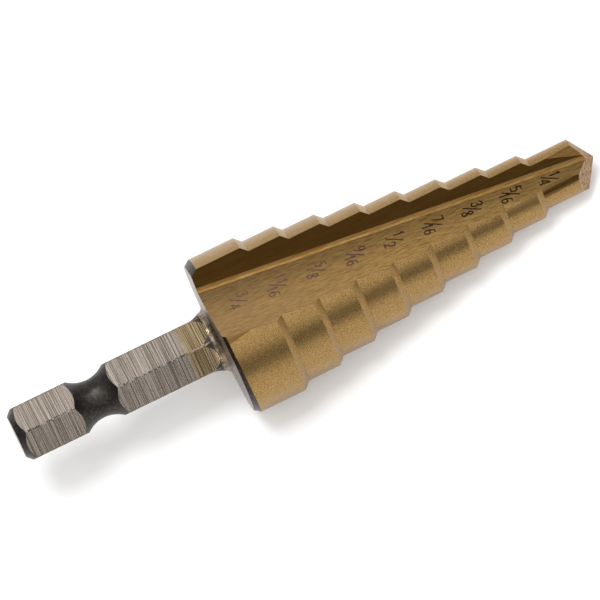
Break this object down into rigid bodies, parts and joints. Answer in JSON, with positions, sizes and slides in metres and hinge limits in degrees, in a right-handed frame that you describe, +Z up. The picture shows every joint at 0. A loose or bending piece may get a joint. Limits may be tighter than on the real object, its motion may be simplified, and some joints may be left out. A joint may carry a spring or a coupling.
{
  "type": "step drill",
  "caption": "Stepped conical drill with straight flutes and a grooved hexagonal quick-change shank, for drilling and enlarging holes in sheet metal.",
  "frame": {"origin": "centre of the bounding box at its base, which is the surface the drill lies on", "axes": "+Z up; +X runs along the drill from the shank towards the point, which dips 7 degrees to the surface; +Y to the left"},
  "size_m": [0.0716, 0.0188, 0.0168],
  "materials": {
    "step_drill": "gold titanium nitride coating on the stepped cone, bare ground steel on the shank"
  },
  "bodies": {
    "root": {"step_drill": "step_drill"}
  },
  "joints": []
}
